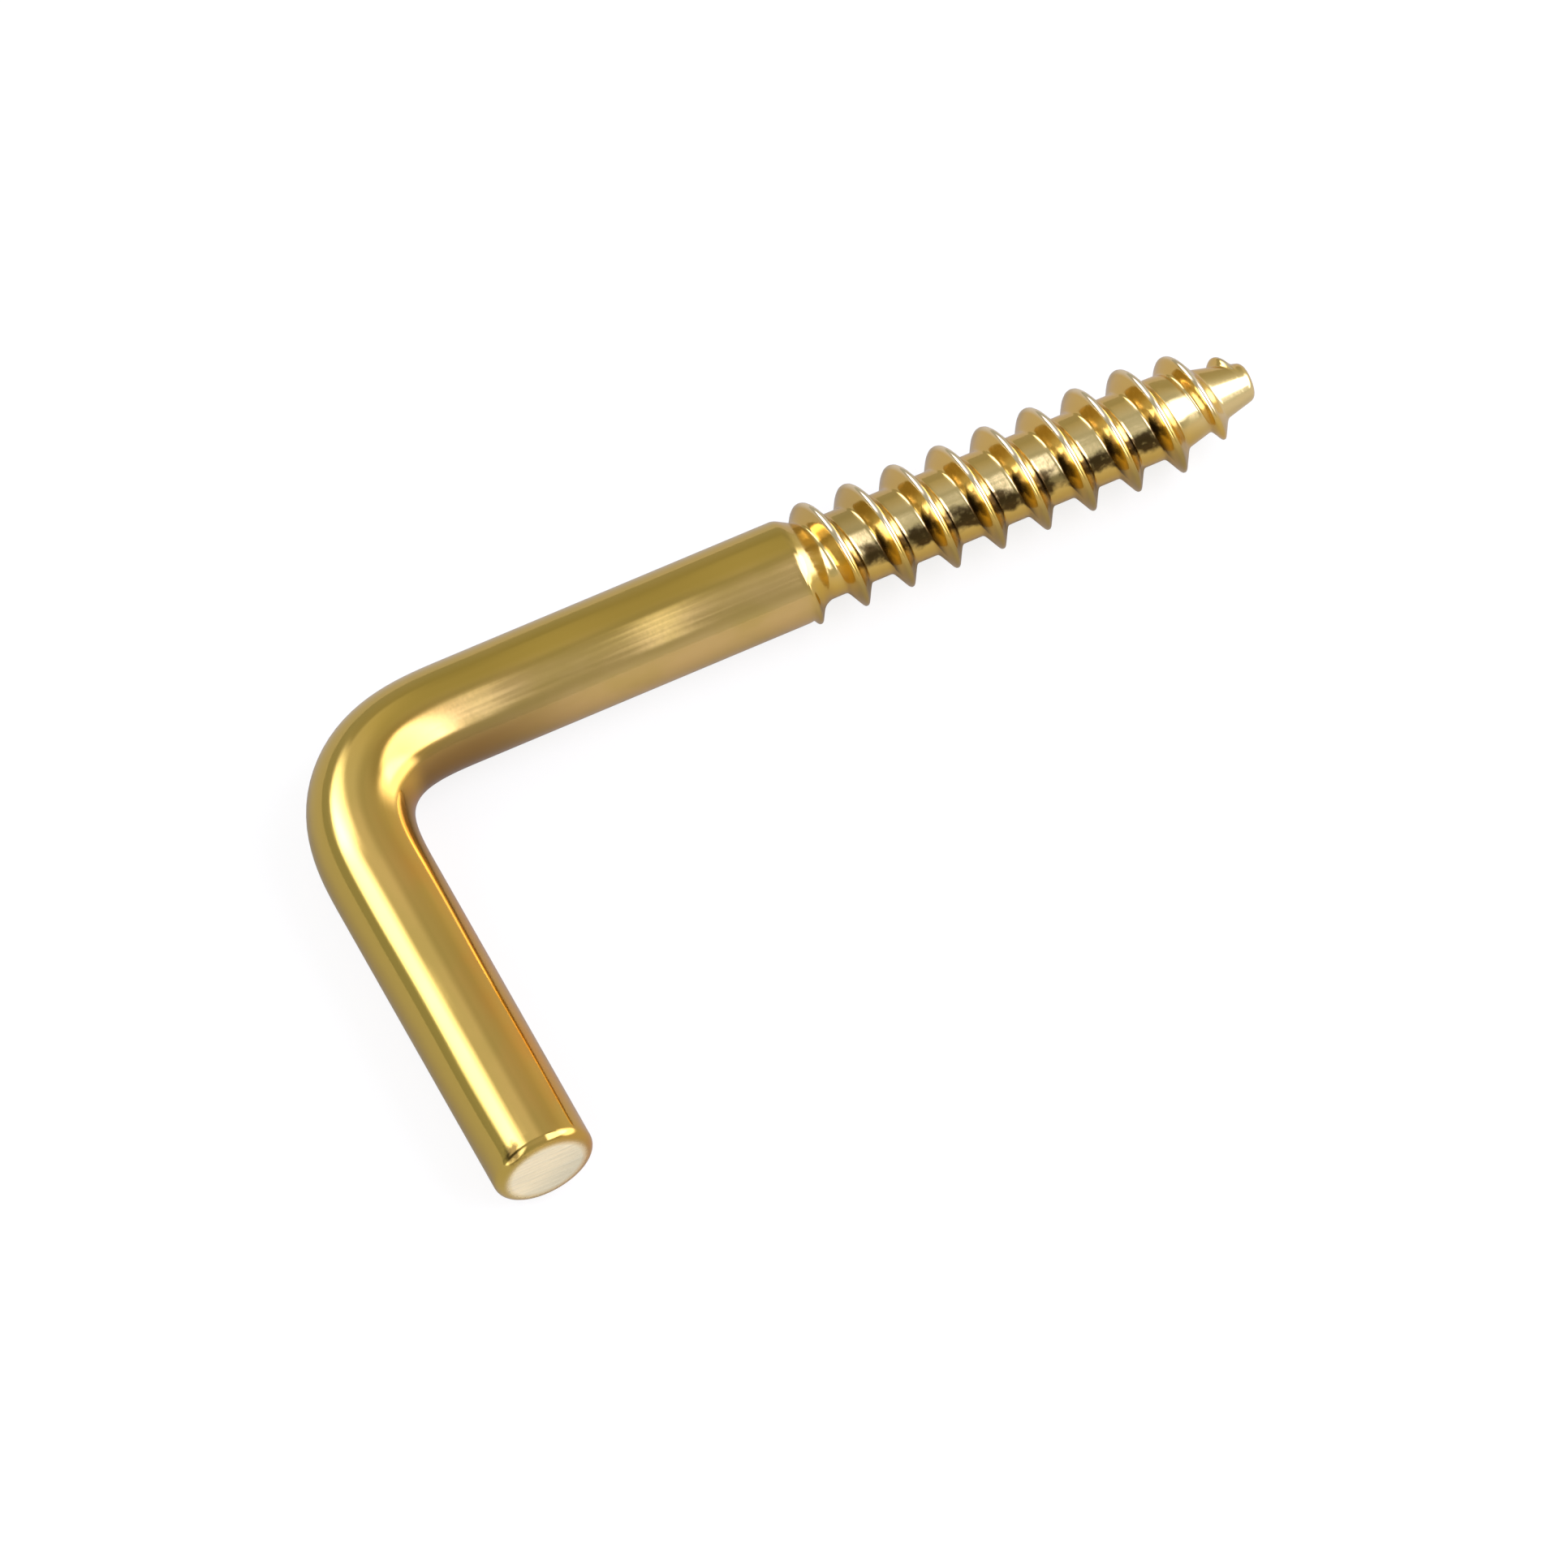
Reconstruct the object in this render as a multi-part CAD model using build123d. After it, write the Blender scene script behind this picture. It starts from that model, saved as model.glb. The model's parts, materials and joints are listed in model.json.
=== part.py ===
"""Square-bend screw hook, made from one length of round wire.

The hook lies flat in the XY plane with +Z up. The origin is on the shank's axis where the plain
wire ends and the wood-screw thread starts, so X = 0 is the face of the wood once it is screwed in.
+X runs along the shank to the tip, and the arm points to -Y from a right-angled bend.
"""

from build123d import *
import os
from math import cos, pi, radians, sin, tan

# Driving dimensions, in millimetres, degrees and turns
WIRE_DIAMETER = 4.0  # plain wire of the arm and shank
OVERALL_LENGTH = 39.8  # back of the arm to the tip
OVERALL_DROP = 20.9  # far side of the shank to the arm's cut end
PLAIN_SHANK = 19.2  # arm's axis to the start of the thread
BEND_RADIUS = 4.3  # of the wire's centre line
ARM_END_ROUND = 0.4  # edge of the arm's cut end, tumbled smooth

THREAD_MAJOR = 4.45  # crest diameter, which rolling raises above the wire
THREAD_ROOT = 3.0  # core diameter between the crests
THREAD_PITCH = 1.85
THREAD_FLANK = 30.0  # slope of each flank, from the plane square to the axis
THREAD_CREST = 0.14  # flat along the crest
THREAD_START_ANGLE = 157.0  # of the ridge where it passes X = 0, about +X from +Y
THREAD_RUN_IN = 0.5  # turns over which the ridge rises to its full height
THREAD_RUN_OUT = 0.35  # turns over which it dies away at the tip

NECK_LENGTH = 0.9  # cone from the wire down to the core
TAPER_LENGTH = 3.2  # coned end of the threaded part
TIP_DIAMETER = 1.4  # blunt end of the core
TIP_RIDGE_HEIGHT = 0.35  # what the cone leaves of the ridge's height at the tip
TIP_ROUND = 0.3  # edge of the blunt end

# Sizes and places that follow
wire_r = WIRE_DIAMETER / 2
root_r = THREAD_ROOT / 2
major_r = THREAD_MAJOR / 2
tip_r = TIP_DIAMETER / 2
ridge_height = major_r - root_r
arm_x = -PLAIN_SHANK
arm_end_y = wire_r - OVERALL_DROP
tip_x = arm_x - wire_r + OVERALL_LENGTH
taper_x = tip_x - TAPER_LENGTH
ridge_start_x = -THREAD_PITCH / 4
ridge_end_x = tip_x - TIP_ROUND

# How the ridge is drawn: its ends and its foot lie this deep in the solid wire, and it is made of
# about two pieces a turn, each with this many points along its edges
SINK = 0.15
PIECES_PER_TURN = 2
POINTS_PER_PIECE = 12
RIDGE_SECTION = ["back foot", "back crest", "front crest", "front foot"]


def core_radius(x):
    """Radius of the wire inside the thread: plain shank, neck, parallel core, then the coned end."""
    if x <= 0:
        return wire_r
    if x < NECK_LENGTH:
        return wire_r + (root_r - wire_r) * x / NECK_LENGTH
    if x <= taper_x:
        return root_r
    return root_r + (tip_r - root_r) * (x - taper_x) / TAPER_LENGTH


def ramp(share):
    """A smooth rise from 0 to 1 as the share goes from 0 to 1."""
    return (1 - cos(pi * min(share, 1))) / 2


def crest_radius(x):
    """The ridge rises out of the shank, keeps its height, then shrinks with the cone and dies away."""
    if x > taper_x:
        along_cone = (x - taper_x) / TAPER_LENGTH
        height = ridge_height + (TIP_RIDGE_HEIGHT - ridge_height) * along_cone
        turns_left = (ridge_end_x - x) / THREAD_PITCH
        return core_radius(x) - SINK + (height + SINK) * ramp(turns_left / THREAD_RUN_OUT)
    buried_r = min(wire_r, major_r) - SINK
    turns_run = (x - ridge_start_x) / THREAD_PITCH
    return buried_r + (major_r - buried_r) * ramp(turns_run / THREAD_RUN_IN)


def ridge_point(name, turns):
    """One corner of the ridge's section, a number of turns after its start: a right-hand helix."""
    x = ridge_start_x + THREAD_PITCH * turns
    angle = radians(THREAD_START_ANGLE) + 2 * pi * x / THREAD_PITCH
    crest_r = crest_radius(x)
    foot_r = core_radius(min(x + THREAD_PITCH / 2, tip_x)) - SINK
    r = crest_r if "crest" in name else foot_r
    half_width = THREAD_CREST / 2 + (crest_r - r) * tan(radians(THREAD_FLANK))
    side = -1 if "back" in name else 1
    return Vector(x + side * half_width, r * cos(angle), r * sin(angle))


def ridge_piece(start, end):
    """The four ruled sides of the ridge from one turn count to another."""
    step = (end - start) / POINTS_PER_PIECE
    rails = [
        Spline([ridge_point(name, start + i * step) for i in range(POINTS_PER_PIECE + 1)])
        for name in RIDGE_SECTION
    ]
    return [Face.make_surface_from_curves(rails[i - 1], rails[i]) for i in range(len(rails))]


def thread_ridge():
    """The whole ridge as one closed solid, with a flat end at each end, inside the wire."""
    turns = (ridge_end_x - ridge_start_x) / THREAD_PITCH
    count = round(turns * PIECES_PER_TURN)
    cuts = [turns * i / count for i in range(count + 1)]
    faces = []
    for start, end in zip(cuts, cuts[1:]):
        faces += ridge_piece(start, end)
    for cut in (0, turns):
        corners = [ridge_point(name, cut) for name in RIDGE_SECTION]
        faces.append(Face(Wire.make_polygon(corners, close=True)))
    return Solid(Shell(faces))


def threaded_core():
    """The wire inside the thread, turned about X, with a blunt tip."""
    corners = [(x, core_radius(x)) for x in (0, NECK_LENGTH, taper_x, tip_x)]
    half_section = make_face(Polyline([(0, 0)] + corners + [(tip_x, 0)], close=True))
    rim = half_section.vertices().sort_by_distance((tip_x, tip_r))[0]
    return revolve(fillet(rim, TIP_ROUND), Axis.X, 360)


def bent_wire():
    """The arm, the quarter-circle bend and the plain shank as far as the thread."""
    section = Circle(wire_r)
    arm = Plane(origin=(arm_x, arm_end_y, 0), z_dir=(0, 1, 0)) * section
    arm = extrude(arm, -BEND_RADIUS - arm_end_y)
    arm = fillet(arm.edges().sort_by(Axis.Y)[0], ARM_END_ROUND)

    bend_axis = Axis((arm_x + BEND_RADIUS, -BEND_RADIUS, 0), (0, 0, -1))
    bend = Plane(origin=(arm_x, -BEND_RADIUS, 0), z_dir=(0, 1, 0)) * section
    bend = revolve(bend, bend_axis, 90)

    shank = Plane(origin=(arm_x + BEND_RADIUS, 0, 0), z_dir=(1, 0, 0)) * section
    shank = extrude(shank, PLAIN_SHANK - BEND_RADIUS)
    return arm + bend + shank


hook = bent_wire() + (threaded_core() + thread_ridge())
os.makedirs("parts", exist_ok=True)
export_step(hook, "parts/square_hook.step")
print("solids", len(hook.solids()), "valid", hook.is_valid, "volume", round(hook.volume, 2), "mm3")
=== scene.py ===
"""Looks of the square-bend screw hook: its fine mesh, brass finish, floor, lights and camera.

Shapes are worked out in millimetres, and MM turns them into Blender's metres. The hook's mesh is
drawn as a straight wire along X, with the thread on it, and the wire is then bent where the CAD
model's is. A place on the straight wire is given along X, out from its axis on the side away from
the hook's mouth, and up.
"""

import bpy
import json
from functools import lru_cache
from math import atan, ceil, cos, pi, radians, sin, tan
from mathutils import Matrix, Vector


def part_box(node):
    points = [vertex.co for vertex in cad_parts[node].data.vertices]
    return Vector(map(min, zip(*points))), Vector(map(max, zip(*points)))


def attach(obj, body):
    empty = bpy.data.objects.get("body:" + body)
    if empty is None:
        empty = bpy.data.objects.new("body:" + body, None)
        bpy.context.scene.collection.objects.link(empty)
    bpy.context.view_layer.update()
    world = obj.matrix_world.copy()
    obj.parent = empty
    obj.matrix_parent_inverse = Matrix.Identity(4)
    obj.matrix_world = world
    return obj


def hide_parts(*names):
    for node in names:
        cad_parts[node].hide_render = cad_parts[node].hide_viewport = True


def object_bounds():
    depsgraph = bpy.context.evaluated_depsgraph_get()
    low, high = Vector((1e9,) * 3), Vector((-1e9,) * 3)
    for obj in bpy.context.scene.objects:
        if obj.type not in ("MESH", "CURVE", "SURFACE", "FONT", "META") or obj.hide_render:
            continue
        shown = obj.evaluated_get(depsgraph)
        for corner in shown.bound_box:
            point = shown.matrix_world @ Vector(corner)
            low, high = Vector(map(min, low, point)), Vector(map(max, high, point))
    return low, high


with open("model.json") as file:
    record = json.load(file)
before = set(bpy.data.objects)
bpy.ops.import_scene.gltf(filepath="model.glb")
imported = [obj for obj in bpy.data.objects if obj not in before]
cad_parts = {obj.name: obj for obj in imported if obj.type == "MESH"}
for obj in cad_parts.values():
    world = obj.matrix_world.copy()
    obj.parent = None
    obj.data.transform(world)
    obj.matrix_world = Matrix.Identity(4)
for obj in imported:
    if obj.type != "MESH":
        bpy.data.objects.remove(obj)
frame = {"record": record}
cad_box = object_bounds()
MM = 0.001

# The wire's sizes and places, from the frame
low, high = (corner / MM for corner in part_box("square_hook"))
arm_mount = next(mount for mount in frame["record"]["mounts"] if mount["name"] == "arm")
arm_x, arm_middle_y, _ = (value / MM for value in arm_mount["pos_m"])
half_arm = arm_mount["dims"]["length_mm"] / 2
wire_r = arm_mount["dims"]["r_mm"]
bend_radius = -(arm_middle_y + half_arm)
arm_end_y = low.y
arm_end_round = arm_middle_y - half_arm - arm_end_y
tip_x = high.x

# How the real wire takes its bend: tighter in the middle than the CAD model's arc, and easing into
# the straight at each end, so that both pass the corner at the same distance
BEND_TIGHTER = 0.908  # the radius in the middle, as a share of the arc's
BEND_EASE = 3.4  # length of wire over which each end eases

# The thread, in millimetres and turns, as the CAD model has it
PITCH = 1.85
ROOT_RADIUS = 1.5
CREST_RADIUS = 2.225
CREST_FLAT = 0.14
FLANK_SLOPE = radians(30)  # from the plane square to the wire
START_ANGLE = radians(157)  # of the ridge where it passes X = 0, about +X from +Y
RUN_IN = 0.5  # turns over which the ridge rises out of the wire
RUN_OUT = 0.35  # turns over which it dies away at the tip
BURIED = 0.15  # depth at which the ridge starts and ends
NECK_LENGTH = 0.9
TAPER_LENGTH = 3.2
TIP_RADIUS = 0.7
TIP_RIDGE_HEIGHT = 0.35
TIP_ROUND = 0.3

# How rolling, plating and wear soften the thread's corners
ROOT_FILLET = 0.12
CREST_ROUND = 0.06
CORE_ROUND = 0.08
WORN_HEIGHT = 0.8  # share of the ridge's height from which its crest is worn

# Fineness of the mesh
AROUND = 144  # points round the wire
ROWS = 36  # rows of points to each turn of the thread, which follow its slant
RING_STEP = 0.3  # between the rings of the plain wire
END_RINGS = 8  # rings on each flat end
ROUNDING_RINGS = 8  # on the arm's rounded edge
BEND_STEPS = 200  # in the sums that give the bend's centre line
SLIMMER = 0.999  # keeps the mesh inside the CAD model's facets

# Places that follow
tight_radius = bend_radius * BEND_TIGHTER
bend_length = tight_radius * pi / 2 + BEND_EASE
ridge_start_x = -PITCH / 4
ridge_end_x = tip_x - TIP_ROUND
taper_x = tip_x - TAPER_LENGTH
ridge_height = CREST_RADIUS - ROOT_RADIUS
cone_angle = atan((ROOT_RADIUS - TIP_RADIUS) / TAPER_LENGTH)
tip_turn = pi / 2 - cone_angle
tip_tangent = TIP_ROUND * tan(tip_turn / 2)
tip_round_x = tip_x - tip_tangent * cos(cone_angle)
tip_face_r = TIP_RADIUS - tip_tangent
thread_mesh_x = -PITCH * START_ANGLE / (2 * pi)  # where the ridge's line passes angle zero
thread_mesh_end = tip_round_x + TIP_ROUND * tip_turn


def smooth_max(a, b, width):
    """The larger of two values, with a rounded change-over."""
    return max(a, b) + max(width - abs(a - b), 0) ** 2 / (4 * width)


def smooth_min(a, b, width):
    """The smaller of two values, with a rounded change-over."""
    return -smooth_max(-a, -b, width)


def clamp(value):
    """The value, kept between 0 and 1."""
    return min(max(value, 0), 1)


def ramp(share):
    """A smooth rise from 0 to 1 as the share goes from 0 to 1."""
    return (1 - cos(pi * clamp(share))) / 2


def core_radius(x):
    """Radius of the wire inside the thread: plain shank, neck, parallel core, then the coned end."""
    neck = wire_r - (wire_r - ROOT_RADIUS) * x / NECK_LENGTH
    cone = ROOT_RADIUS - tan(cone_angle) * (x - taper_x)
    threaded = smooth_min(smooth_max(neck, ROOT_RADIUS, CORE_ROUND), cone, CORE_ROUND)
    return smooth_min(wire_r, threaded, CORE_ROUND)


def crest_radius(x):
    """The ridge rises out of the shank, keeps its height, then shrinks with the cone and dies away."""
    if x > taper_x:
        height = ridge_height + (TIP_RIDGE_HEIGHT - ridge_height) * (x - taper_x) / TAPER_LENGTH
        left = ramp((ridge_end_x - x) / PITCH / RUN_OUT)
        return core_radius(x) - BURIED + (height + BURIED) * left
    buried_r = wire_r - BURIED
    return buried_r + (CREST_RADIUS - buried_r) * ramp((x - ridge_start_x) / PITCH / RUN_IN)


def ridge_radius(x, angle):
    """Radius of the ridge's flank or crest at a point, which is zero where there is no ridge."""
    turns = (angle - START_ANGLE) / (2 * pi)
    crest_x = PITCH * (turns + round(x / PITCH - turns))
    if not ridge_start_x <= crest_x <= ridge_end_x:
        return 0
    beside = smooth_max(abs(x - crest_x) - CREST_FLAT / 2, 0, CREST_ROUND)
    return crest_radius(crest_x) - beside / tan(FLANK_SLOPE)


def thread_point(along, angle):
    """Place along X and radius, at a length along the threaded end and round its tip."""
    if along <= tip_round_x:
        return along, smooth_max(core_radius(along), ridge_radius(along, angle), ROOT_FILLET)
    left = tip_turn - (along - tip_round_x) / TIP_ROUND
    return tip_x - TIP_ROUND * (1 - cos(left)), tip_face_r + TIP_ROUND * sin(left)


def bend_turned(back):
    """How far the wire has turned, this far back along it from where its bend starts on the shank."""
    if back > bend_length / 2:
        return pi / 2 - bend_turned(max(bend_length - back, 0))
    if back < BEND_EASE:
        return back**2 / (2 * BEND_EASE * tight_radius)
    return (back - BEND_EASE / 2) / tight_radius


@lru_cache(maxsize=None)
def bend_reached(back):
    """How far the centre line has gone towards -X and towards -Y, this far back along it."""
    steps = BEND_STEPS
    turns = [bend_turned(back * (i + 0.5) / steps) for i in range(steps)]
    return sum(map(cos, turns)) * back / steps, sum(map(sin, turns)) * back / steps


bend_x = arm_x + bend_reached(bend_length)[0]
arm_end_x = bend_x - bend_length - (-bend_reached(bend_length)[1] - arm_end_y)


def bent(x, out, up):
    """Where a point of the straight wire lies once the wire is bent."""
    back = bend_x - x
    if back <= 0:
        return x, out, up
    turned = bend_turned(back)
    gone_x, gone_y = bend_reached(min(back, bend_length))
    gone_y += max(back - bend_length, 0)
    return bend_x - gone_x - out * sin(turned), -gone_y + out * cos(turned), up


class WireSurface:
    """The straight wire's points, each a place along X, a radius and an angle, and its faces."""

    def __init__(self):
        self.points = []
        self.faces = []

    def point(self, x, r, step):
        """Adds a point, this many steps round the wire, and gives its number."""
        self.points.append((x, r, 2 * pi * step / AROUND))
        return len(self.points) - 1

    def ring(self, x, r):
        """Points all round the wire."""
        return [self.point(x, r, step) for step in range(AROUND)]

    def pole(self, x):
        """One point on the axis, which stands for a whole ring."""
        return [self.point(x, 0, 0)] * AROUND

    def face(self, *corners):
        """Adds a face, less any corner that is named twice, unless too few are left."""
        corners = tuple(dict.fromkeys(corners))
        if len(corners) > 2:
            self.faces.append(corners)

    def join(self, rings):
        """Faces from each ring to the next."""
        for ring, after in zip(rings, rings[1:]):
            for step in range(AROUND):
                beside = (step + 1) % AROUND
                self.face(ring[step], ring[beside], after[beside], after[step])

    def flat_end(self, x, radius):
        """A pole and rings out towards a flat end's edge, where another ring will be."""
        return [self.pole(x)] + [self.ring(x, radius * i / END_RINGS) for i in range(1, END_RINGS)]

    def plain_wire(self, last_ring):
        """The arm's end, its rounded edge, and rings from there as far as the thread."""
        rings = self.flat_end(arm_end_x, wire_r - arm_end_round)
        for i in range(ROUNDING_RINGS):
            turn = pi / 2 * i / ROUNDING_RINGS
            x = arm_end_x + arm_end_round * (1 - cos(turn))
            rings.append(self.ring(x, wire_r - arm_end_round * (1 - sin(turn))))
        first_x = arm_end_x + arm_end_round
        count = ceil((thread_mesh_x - first_x) / RING_STEP)
        step = (thread_mesh_x - first_x) / count
        rings += [self.ring(first_x + i * step, wire_r) for i in range(count)]
        self.join(rings + [last_ring])

    def thread(self, first_ring, last_ring):
        """Rows of points that follow the ridge's slant, cut off at the two rings."""
        advance = PITCH / AROUND
        last_count = ceil((thread_mesh_end - thread_mesh_x) / advance)
        made = {}

        def row_point(row, step):
            count = row * AROUND // ROWS + step
            step %= AROUND
            if count <= 0:
                return first_ring[step]
            if count >= last_count:
                return last_ring[step]
            if (count, step) not in made:
                angle = 2 * pi * step / AROUND
                x, r = thread_point(thread_mesh_x + count * advance, angle)
                made[count, step] = self.point(x, r, step)
            return made[count, step]

        for row in range(-ROWS, ceil(last_count * ROWS / AROUND)):
            for step in range(AROUND):
                self.face(
                    row_point(row, step),
                    row_point(row, step + 1),
                    row_point(row + 1, step + 1),
                    row_point(row + 1, step),
                )


def finish_masks(x, r):
    """How far a point is down in the thread's groove, up on its crest, and on a cut end."""
    core, crest = core_radius(x), crest_radius(x)
    groove = rise = 0
    if x > 0 and crest > core:
        share = clamp((r - core) / (crest - core))
        groove = (1 - share) * ramp(x / NECK_LENGTH)
        rise = ramp((share - WORN_HEIGHT) / (1 - WORN_HEIGHT))
    end_r = wire_r - arm_end_round / 2 if x < bend_x else tip_face_r + TIP_ROUND / 2
    on_end = x < arm_end_x + arm_end_round or x > tip_round_x
    cut = ramp((end_r - r) / arm_end_round) if on_end else 0
    return groove, rise, cut


def make_hook():
    """The whole hook as one mesh, with each point's place on the straight wire and its masks."""
    surface = WireSurface()
    first_ring = surface.ring(thread_mesh_x, wire_r)
    last_ring = surface.ring(*thread_point(thread_mesh_end, 0))
    surface.plain_wire(first_ring)
    surface.thread(first_ring, last_ring)
    surface.join([last_ring] + surface.flat_end(tip_x, tip_face_r)[::-1])

    straight = [
        Vector((x, SLIMMER * r * cos(angle), SLIMMER * r * sin(angle)))
        for x, r, angle in surface.points
    ]
    mesh = bpy.data.meshes.new("hook_wire")
    mesh.from_pydata([Vector(bent(*place)) * MM for place in straight], [], surface.faces)
    mesh.shade_smooth()
    wire = mesh.attributes.new("wire", "FLOAT_VECTOR", "POINT")
    wire.data.foreach_set("vector", [value for place in straight for value in place])
    masks = [finish_masks(x, r) for x, r, _ in surface.points]
    for name, values in zip(("groove", "crest", "cut_end"), zip(*masks)):
        mesh.attributes.new(name, "FLOAT", "POINT").data.foreach_set("value", values)

    hook = bpy.data.objects.new("hook_wire", mesh)
    bpy.context.scene.collection.objects.link(hook)
    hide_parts("square_hook")
    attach(hook, "root")
    return hook


# The sockets of a Mix node that take and give colours, among those for other kinds of value
COLOUR_MIX_INPUTS = (0, 6, 7)
COLOUR_MIX_OUTPUT = 2


class Nodes:
    """Builds one material's or world's node tree."""

    def __init__(self, owner):
        owner.use_nodes = True
        self.tree = owner.node_tree
        self.tree.nodes.clear()

    def add(self, kind, settings=None, **inputs):
        """A node with its settings, and its inputs by name, each a value or another's output."""
        node = self.tree.nodes.new(kind)
        for name, value in (settings or {}).items():
            setattr(node, name, value)
        for name, value in inputs.items():
            self.feed(node.inputs[name.replace("_", " ")], value)
        return node

    def feed(self, socket, value):
        """Sets an input to a value, or links it to another node's output."""
        if isinstance(value, bpy.types.NodeSocket):
            self.tree.links.new(value, socket)
        else:
            socket.default_value = value

    def math(self, operation, *values):
        """What an operation makes of one or two values."""
        node = self.add("ShaderNodeMath", {"operation": operation})
        for socket, value in zip(node.inputs, values):
            self.feed(socket, value)
        return node.outputs[0]

    def distance(self, *places):
        """The distance between two places."""
        node = self.add("ShaderNodeVectorMath", {"operation": "DISTANCE"})
        for socket, value in zip(node.inputs, places):
            self.feed(socket, value)
        return node.outputs["Value"]

    def attribute(self, name, output="Fac"):
        """What the mesh holds at each of its points under this name."""
        return self.add("ShaderNodeAttribute", {"attribute_name": name}).outputs[output]

    def noise(self, place, scale, detail):
        """Noise about 0.5, with a scale for each direction of the straight wire."""
        mapped = self.add("ShaderNodeMapping", Vector=place, Scale=scale).outputs[0]
        return self.add("ShaderNodeTexNoise", Vector=mapped, Scale=1.0, Detail=detail).outputs["Fac"]

    def spread(self, value, low, high, to_low=0.0, to_high=1.0):
        """The value from low to high, stretched smoothly over another range."""
        return self.add(
            "ShaderNodeMapRange",
            {"interpolation_type": "SMOOTHSTEP"},
            Value=value,
            From_Min=low,
            From_Max=high,
            To_Min=to_low,
            To_Max=to_high,
        ).outputs[0]

    def mix(self, factor, a, b):
        """Colour a where the factor is 0 and b where it is 1."""
        node = self.add("ShaderNodeMix", {"data_type": "RGBA"})
        for number, value in zip(COLOUR_MIX_INPUTS, (factor, a, b)):
            self.feed(node.inputs[number], value)
        return node.outputs[COLOUR_MIX_OUTPUT]

    def tint(self, colour, tints, masks):
        """The colour under a list of tints, each as strong as its share times all its bands."""
        for tint, share, *bands in tints:
            for mask, *limits in bands:
                band = self.spread(masks[mask], *limits) if limits else masks[mask]
                share = self.math("MULTIPLY", share, band)
            colour = self.mix(share, colour, tint)
        return colour

    def bump(self, height, distance, normal=None):
        """The normal bent by a height between about 0 and 1, at a distance in millimetres."""
        node = self.add("ShaderNodeBump", Height=height, Strength=1.0, Distance=distance * MM)
        if normal:
            self.feed(node.inputs["Normal"], normal)
        return node.outputs[0]


# Brass colours, as the share of red, green and blue light that each gives back
BRASS = (0.84, 0.56, 0.135, 1)
# Darker brass, painted shade on the top of the shank
DEEP_BRASS = (0.67, 0.45, 0.07, 1)
OLIVE_BRASS = (0.67, 0.49, 0.10, 1)
ORANGE_BRASS = (0.80, 0.40, 0.065, 1)
PALE_BRASS = (0.86, 0.60, 0.21, 1)
# Pale brass, painted highlight on the thread's side towards the mouth
ROLLED_PAINTED_HIGHLIGHT = (1.0, 0.79, 0.34, 1)
ROLLED_SIDE = (0.84, 0.57, 0.15, 1)
# Deeper brass, painted shade on the thread further round towards the mouth
ROLLED_UNDER = (0.84, 0.54, 0.06, 1)
# Darker brass, painted shade on the first turns
ROLLED_PAINTED_SHADE = (0.62, 0.45, 0.14, 1)
# Dark brass, painted shade at the thread's outlines
OUTLINE_PAINTED_SHADE = (0.45, 0.33, 0.09, 1)
WORN_CREST = (0.97, 0.82, 0.50, 1)
# Near-black painted shade, in the groove and on the arm's rim
PAINTED_SHADE = (0.045, 0.02, 0.001, 1)
# Brown painted shade for the inner corner of the bend
BEND_PAINTED_SHADE = (0.36, 0.21, 0.06, 1)
CUT_END = (1.0, 0.86, 0.48, 1)
# The cut end's darker tone: painted shade across it, and its shear lines
CUT_SHADE_AND_SHEAR = (0.66, 0.62, 0.38, 1)

# Noise on the straight wire: its fineness along, out and up, and its detail
NOISES = {
    "patches": ((0.28, 0.5, 0.5), 3.0),  # uneven plating
    "streaks": ((0.15, 6.0, 6.0), 3.0),  # lines left by the drawing die
    "specks": ((4.0, 4.0, 4.0), 5.0),  # grain, mostly in the groove
    "shade_edge": ((1.4, 1.4, 1.4), 4.0),  # the painted shade's uneven edge
    "shear": ((1.0, 0.5, 8.0), 4.0),  # lines across a cut end
}
NOISE_RANGE = (0.3, 0.7)  # in which nearly all of a noise lies

# Where one colour of the wire turns into another, in millimetres. The turns towards the back and
# towards the mouth are painted reflection
SHANK_TO_ARM = (-13.0, -18.0)  # along
PLAIN_TO_THREAD = (-0.3, 0.4)
TO_BACK = (0.2, 1.8)  # out
TO_MOUTH = (0.4, -1.2)

# Tints, each laid over those before it: its colour, how much of it shows at most, and its bands.
# A band is a mask's name with the values at which the tint starts and is full, and in some the
# share of it that shows before it starts. A name alone stands for the mask as it is.
PLAIN_TINTS = (
    (OLIVE_BRASS, 0.5, ("patches", 0.35, 0.65)),
    # Painted shade in the inner corner of the bend, towards the mouth
    (BEND_PAINTED_SHADE, 0.9, ("along", -18.5, -16.5), ("along", -8.0, -14.0), ("out", -1.3, -1.9)),
    # Painted shade: the top of the shank darker
    (DEEP_BRASS, 0.9, ("along", -19.5, -16.5), ("out", -0.7, 0.1), ("out", 1.1, 0.4)),
)
THREAD_TINTS = (
    # Painted highlight: the thread paler on the side towards the mouth
    (ROLLED_PAINTED_HIGHLIGHT, 1.0, ("out", 0.4, -0.5)),
    # Painted shade: the first turns darker on the side away from the mouth
    (ROLLED_PAINTED_SHADE, 0.6, ("along", 7.0, 1.0), ("out", -0.7, -0.1)),
    # The neck
    (BRASS, 0.5, ("along", 1.5, 0.7)),
    (WORN_CREST, 1.0, ("crest",)),
    # Painted shade further round towards the mouth, and at both outlines
    (ROLLED_UNDER, 0.85, ("out", -0.9, -1.6)),
    (OUTLINE_PAINTED_SHADE, 0.8, ("out", -1.75, -2.15)),
    (OUTLINE_PAINTED_SHADE, 0.6, ("out", 1.5, 2.1)),
)
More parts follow.
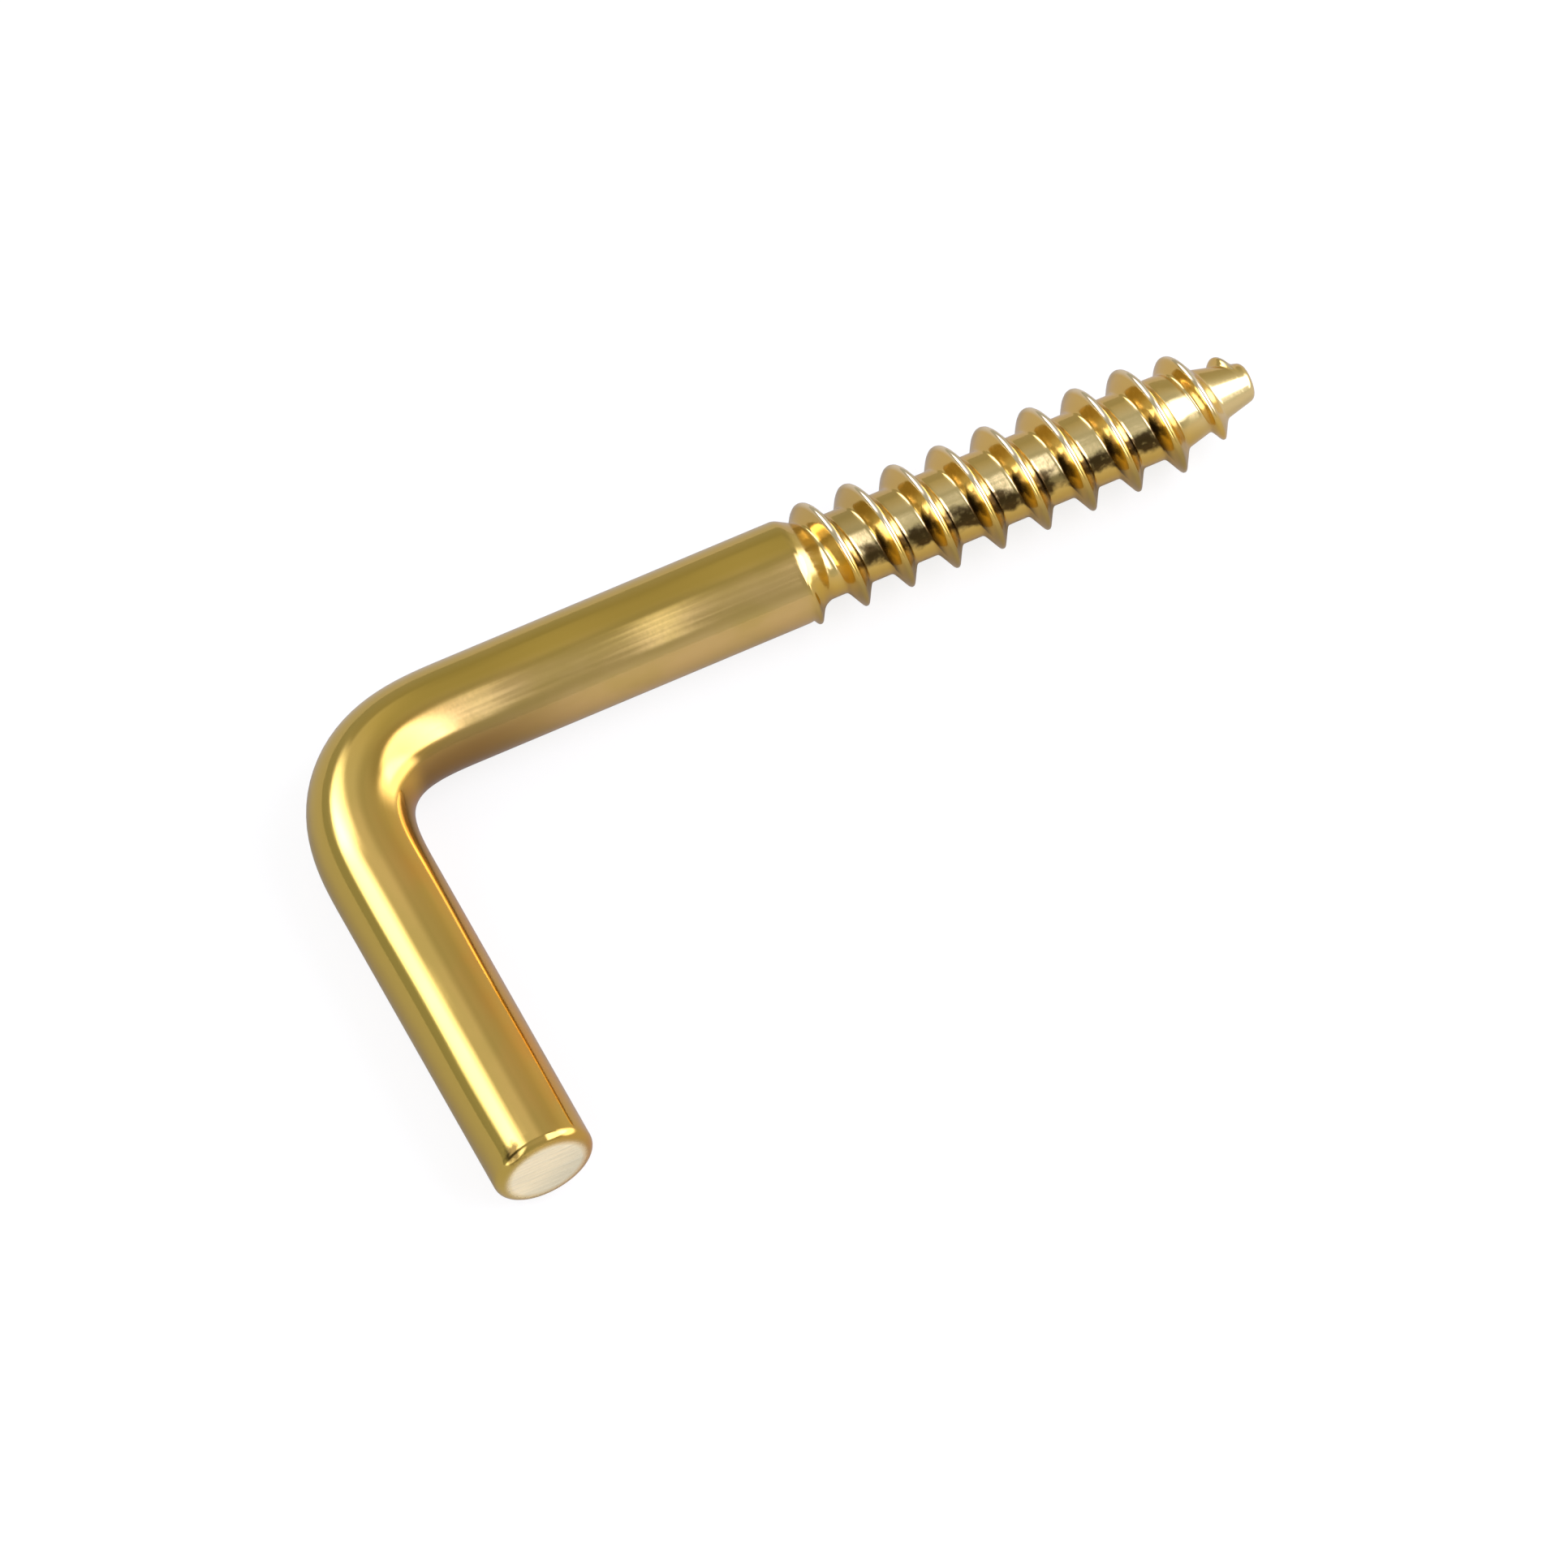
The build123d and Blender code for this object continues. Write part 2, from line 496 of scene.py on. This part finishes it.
PAINTED_SHADE_TINTS = (
    # Painted shade in the groove, on one side of it
    (
        PAINTED_SHADE,
        0.95,
        ("groove", 0.3, 0.9),
        ("specks", 0.2, 0.45, 0.6),
        ("painted_shade_side", 1.39, 1.49, 0.03),
        ("along", 1.6, 2.6),
        ("along", 15.6, 14.4),
    ),
    # Painted shade: a dark mark on the arm's rim
    (PAINTED_SHADE, 0.85, ("from_mark", 0.55, 0.15)),
)
CUT_TINTS = (
    # Painted shade: the cut end darker where it faces down and towards the mouth
    (CUT_SHADE_AND_SHEAR, 0.7, ("slant", 0.6, -2.2)),
    (CUT_SHADE_AND_SHEAR, 0.35, ("shear", 0.35, 0.7)),
)

# The groove's side with painted shade: how it faces out and up, how uneven its edge is, and where
# along the wire it starts and ends to draw back a little, in millimetres
SHADE_FACES_OUT = -0.8
SHADE_FACES_UP = 0.6
SHADE_UNEVEN = 0.05
SHADE_DRAWS_BACK = (9.0, 12.0, 0.0, -0.015)
# The painted shade on the arm's rim: its middle, and how uneven its edge is, in millimetres
MARK_PLACE = (arm_end_x + 0.35, 1.2, 1.55)
MARK_UNEVEN = 0.1

# The surface: roughness, depths in millimetres, and a clear coat
POLISHED, SCORED = 0.07, 0.14  # roughness between and along the die lines
GROOVE_ROUGHER = 0.04
CUT_ROUGHER = 0.35
CUT_METALLIC = 0.2
DIE_LINE_DEPTH = 0.0015
GRAIN_DEPTH = 0.003
GRAIN_ON_PLAIN_WIRE = 0.2  # as a share of its depth in the groove
SHEAR_DEPTH = 0.03
COAT_WEIGHT = 0.1
COAT_ROUGHNESS = 0.1

# The slow waves that straightening leaves in the wire, in millimetres
WAVE_LENGTH = 7.6
WAVE_HEIGHT = 0.030
WAVE_X = -5.8  # a place where the surface falls away most towards the tip


def wire_masks(nodes):
    """What the finish depends on, by name: places on the straight wire, its masks and noise."""
    place = nodes.attribute("wire", "Vector")
    along, out, up = nodes.add("ShaderNodeSeparateXYZ", Vector=place).outputs
    masks = {"along": along, "out": out}
    masks.update((name, nodes.attribute(name)) for name in ("groove", "crest", "cut_end"))
    masks.update((name, nodes.noise(place, *noise)) for name, noise in NOISES.items())
    masks["slant"] = nodes.math("ADD", out, up)

    shade_side = nodes.spread(masks["shade_edge"], *NOISE_RANGE, -SHADE_UNEVEN, SHADE_UNEVEN)
    for axis, facing in ((out, SHADE_FACES_OUT), (up, SHADE_FACES_UP)):
        shade_side = nodes.math("ADD", shade_side, nodes.math("MULTIPLY", axis, facing))
    masks["painted_shade_side"] = nodes.math("ADD", shade_side, nodes.spread(along, *SHADE_DRAWS_BACK))

    uneven = nodes.spread(masks["specks"], *NOISE_RANGE, -MARK_UNEVEN, MARK_UNEVEN)
    masks["from_mark"] = nodes.math("ADD", nodes.distance(place, MARK_PLACE), uneven)
    return masks


def brass_colour(nodes, masks):
    """The plain wire's colour, then the thread's, then painted shade, and the cut ends' over them."""
    along, out = masks["along"], masks["out"]
    # Painted reflection: olive towards the back, orange on the arm and pale on the shank towards the
    # mouth
    mouth_side = nodes.mix(nodes.spread(along, *SHANK_TO_ARM), PALE_BRASS, ORANGE_BRASS)
    plain = nodes.mix(nodes.spread(out, *TO_BACK), BRASS, OLIVE_BRASS)
    plain = nodes.mix(nodes.spread(out, *TO_MOUTH), plain, mouth_side)
    plain = nodes.tint(plain, PLAIN_TINTS, masks)
    # The thread's colour, with painted highlight and painted shade by side
    rolled = nodes.tint(ROLLED_SIDE, THREAD_TINTS, masks)
    colour = nodes.mix(nodes.spread(along, *PLAIN_TO_THREAD), plain, rolled)
    # Painted shade in the groove and on the arm's rim
    colour = nodes.tint(colour, PAINTED_SHADE_TINTS, masks)
    return nodes.mix(masks["cut_end"], colour, nodes.tint(CUT_END, CUT_TINTS, masks))


def brass_roughness(nodes, masks):
    """Polished between the die lines, duller in the groove and dull on a cut end."""
    rough = nodes.spread(masks["streaks"], *NOISE_RANGE, POLISHED, SCORED)
    for mask, rougher in (("groove", GROOVE_ROUGHER), ("cut_end", CUT_ROUGHER)):
        rough = nodes.math("ADD", rough, nodes.math("MULTIPLY", masks[mask], rougher))
    return rough


def brass_surface(nodes, masks):
    """The normal, bent by slow waves, die lines, grain and a cut end's shear lines."""
    phase = nodes.math("SUBTRACT", WAVE_X, masks["along"])
    phase = nodes.math("MULTIPLY", phase, 2 * pi / WAVE_LENGTH)
    surface = nodes.bump(nodes.math("SINE", phase), WAVE_HEIGHT)
    surface = nodes.bump(masks["streaks"], DIE_LINE_DEPTH, surface)
    grain = nodes.spread(masks["groove"], 0.0, 1.0, GRAIN_ON_PLAIN_WIRE, 1.0)
    surface = nodes.bump(nodes.math("MULTIPLY", masks["specks"], grain), GRAIN_DEPTH, surface)
    shear = nodes.math("MULTIPLY", masks["shear"], masks["cut_end"])
    return nodes.bump(shear, SHEAR_DEPTH, surface)


def brass_plating():
    """Bright, unevenly coloured brass plating with painted light and shade on its sides, painted shade
    in the groove, and dull cut ends.
    """
    material = bpy.data.materials.new("brass_plating")
    nodes = Nodes(material)
    masks = wire_masks(nodes)
    shader = nodes.add(
        "ShaderNodeBsdfPrincipled",
        Base_Color=brass_colour(nodes, masks),
        Metallic=nodes.spread(masks["cut_end"], 0.0, 1.0, 1.0, CUT_METALLIC),
        Roughness=brass_roughness(nodes, masks),
        Normal=brass_surface(nodes, masks),
        Coat_Weight=COAT_WEIGHT,
        Coat_Roughness=COAT_ROUGHNESS,
    )
    nodes.add("ShaderNodeOutputMaterial", Surface=shader.outputs[0])
    return material


# The stage, in millimetres, with brightness as a share of white
FLOOR_RADIUS = 4000
FLOOR_COLOUR = (0.2, 0.2, 0.17)
FLOOR_GLOW = 0.81
FLOOR_SIDES = 96
MIRRORED_FLOOR = (0.455, 0.43, 0.365)
FLOOR_GAP = 0.01  # from the floor down to the mirrored one
BACKDROP_COLOUR = (0, 0, 0)
BACKDROP_GLOW = 0.98
BACKDROP_SEGMENTS, BACKDROP_RINGS = 48, 24
ROOM_WHITE = 0.5
RIGHT_WHITE = 0.85
RIGHT_SIDE = (0.5, 1.0)  # where along X the room turns into its brighter side
SOFTBOX_TINT = (0.94, 0.95, 1.38, 1)

# Softboxes: each one's brightness, and where along X, Y and Z it starts and is full, in the unit
# direction towards it
SOFTBOXES = (
    (3.1, (-0.3, -0.62), (0.1, 0.3), (0.28, 0.46)),  # back left
    (2.1, (-0.13, -0.36), (0.48, 0.6), (0.28, 0.46)),  # its wider far end
    (0.28, (0.32, 0.0), (0.1, 0.3), (0.45, 0.55)),  # its glow on the wall
    (2.8, (0.245, 0.355), (0.15, -0.05), (0.35, 0.5)),  # front right
    (0.1, (0.1, 0.4), (0.2, 0.4), (0.5, 0.75)),  # high on the right
    (2.1, (0.62, 0.8), (0.4, 0.1), (0.02, 0.2)),  # low on the right
    (2.5, (-0.4, -0.58), (-0.1, -0.4), (-0.1, 0.1)),  # front left
    (0.06, None, (0.1, -0.25), (0.65, 0.85)),  # ceiling
    (0.12, None, (0.1, -0.3), (0.4, 0.0)),  # foot of the front wall
)


def paper(name, colour, glow=0.0):
    """Matt paper that gives back a share of the light, and may glow as if lit from behind."""
    material = bpy.data.materials.new(name)
    nodes = Nodes(material)
    shader = nodes.add(
        "ShaderNodeBsdfPrincipled",
        Base_Color=(*colour, 1),
        Roughness=1.0,
        Specular_IOR_Level=0.0,
        Emission_Color=(1, 1, 1, 1),
        Emission_Strength=glow,
    )
    nodes.add("ShaderNodeOutputMaterial", Surface=shader.outputs[0])
    return material


def add_disc(name, z, material):
    """A round sheet of paper under the hook, at a height in metres."""
    bpy.ops.mesh.primitive_circle_add(
        vertices=FLOOR_SIDES, radius=FLOOR_RADIUS * MM, fill_type="NGON", location=(0, 0, z)
    )
    disc = bpy.context.object
    disc.name = name
    disc.data.materials.append(material)
    return disc


def unseen_by_rays(piece):
    """Leaves a piece to the camera alone, so that it neither lights the hook nor shows in it."""
    piece.visible_diffuse = False
    piece.visible_glossy = False
    piece.visible_shadow = False


def add_floor():
    """A pale light table that only the camera sees, and the darker sheet that the wire mirrors."""
    low_z = cad_box[0].z
    unseen_by_rays(add_disc("floor", low_z, paper("floor", FLOOR_COLOUR, FLOOR_GLOW)))
    mirrored = paper("mirrored_floor", MIRRORED_FLOOR)
    add_disc("mirrored_floor", low_z - FLOOR_GAP * MM, mirrored).visible_camera = False


def add_backdrop():
    """A pale dome round the floor, for views from the side, which lights nothing."""
    bpy.ops.mesh.primitive_uv_sphere_add(
        radius=FLOOR_RADIUS * MM, segments=BACKDROP_SEGMENTS, ring_count=BACKDROP_RINGS
    )
    dome = bpy.context.object
    dome.name = "backdrop"
    dome.data.materials.append(paper("backdrop", BACKDROP_COLOUR, BACKDROP_GLOW))
    unseen_by_rays(dome)


def add_world():
    """A plain grey room, brighter on the right, with the softboxes' light added to it."""
    world = bpy.data.worlds.new("studio")
    bpy.context.scene.world = world
    nodes = Nodes(world)
    direction = nodes.add("ShaderNodeTexCoord").outputs["Generated"]
    axes = nodes.add("ShaderNodeSeparateXYZ", Vector=direction).outputs
    light = 0.0
    for white, *edges in SOFTBOXES:
        softbox = white
        for axis, edge in zip(axes, edges):
            if edge:
                softbox = nodes.math("MULTIPLY", softbox, nodes.spread(axis, *edge))
        light = nodes.math("ADD", light, softbox)
    softboxes = nodes.add("ShaderNodeBackground", Color=SOFTBOX_TINT, Strength=light)
    room_light = nodes.spread(axes["X"], *RIGHT_SIDE, ROOM_WHITE, RIGHT_WHITE)
    room = nodes.add("ShaderNodeBackground", Strength=room_light)
    both = nodes.add("ShaderNodeAddShader")
    nodes.feed(both.inputs[0], room.outputs[0])
    nodes.feed(both.inputs[1], softboxes.outputs[0])
    nodes.add("ShaderNodeOutputWorld", Surface=both.outputs[0])


# The camera, in degrees and millimetres
AZIMUTH = -26.1  # negative to the left of the front, which is -Y
ELEVATION = 59.1
AIM_OFFSET = Vector((-2.88, 0.5, -0.3))  # from the middle of the hook's box
VIEW_WIDTH = 57.27  # at the hook
CAMERA_DISTANCE = 2500
CLIP_START = 250
SENSOR_WIDTH = 36


def add_camera():
    """The photograph's view: from above and to the left, with a long lens."""
    azimuth, elevation = radians(AZIMUTH), radians(ELEVATION)
    back = Vector((sin(azimuth) * cos(elevation), -cos(azimuth) * cos(elevation), sin(elevation)))
    right = Vector((cos(azimuth), sin(azimuth), 0))
    turn = Matrix((right, back.cross(right), back)).transposed().to_4x4()
    data = bpy.data.cameras.new("camera")
    data.sensor_width = SENSOR_WIDTH
    data.lens = SENSOR_WIDTH * CAMERA_DISTANCE / VIEW_WIDTH
    data.clip_start = CLIP_START * MM
    camera = bpy.data.objects.new("camera", data)
    aim = (cad_box[0] + cad_box[1]) / 2 + AIM_OFFSET * MM
    camera.matrix_world = Matrix.Translation(aim + back * CAMERA_DISTANCE * MM) @ turn
    bpy.context.scene.collection.objects.link(camera)
    bpy.context.scene.camera = camera


hook = make_hook()
hook.data.materials.append(brass_plating())
add_floor()
add_backdrop()
add_world()
add_camera()
bpy.context.scene.view_settings.view_transform = "Standard"
bpy.context.view_layer.update()
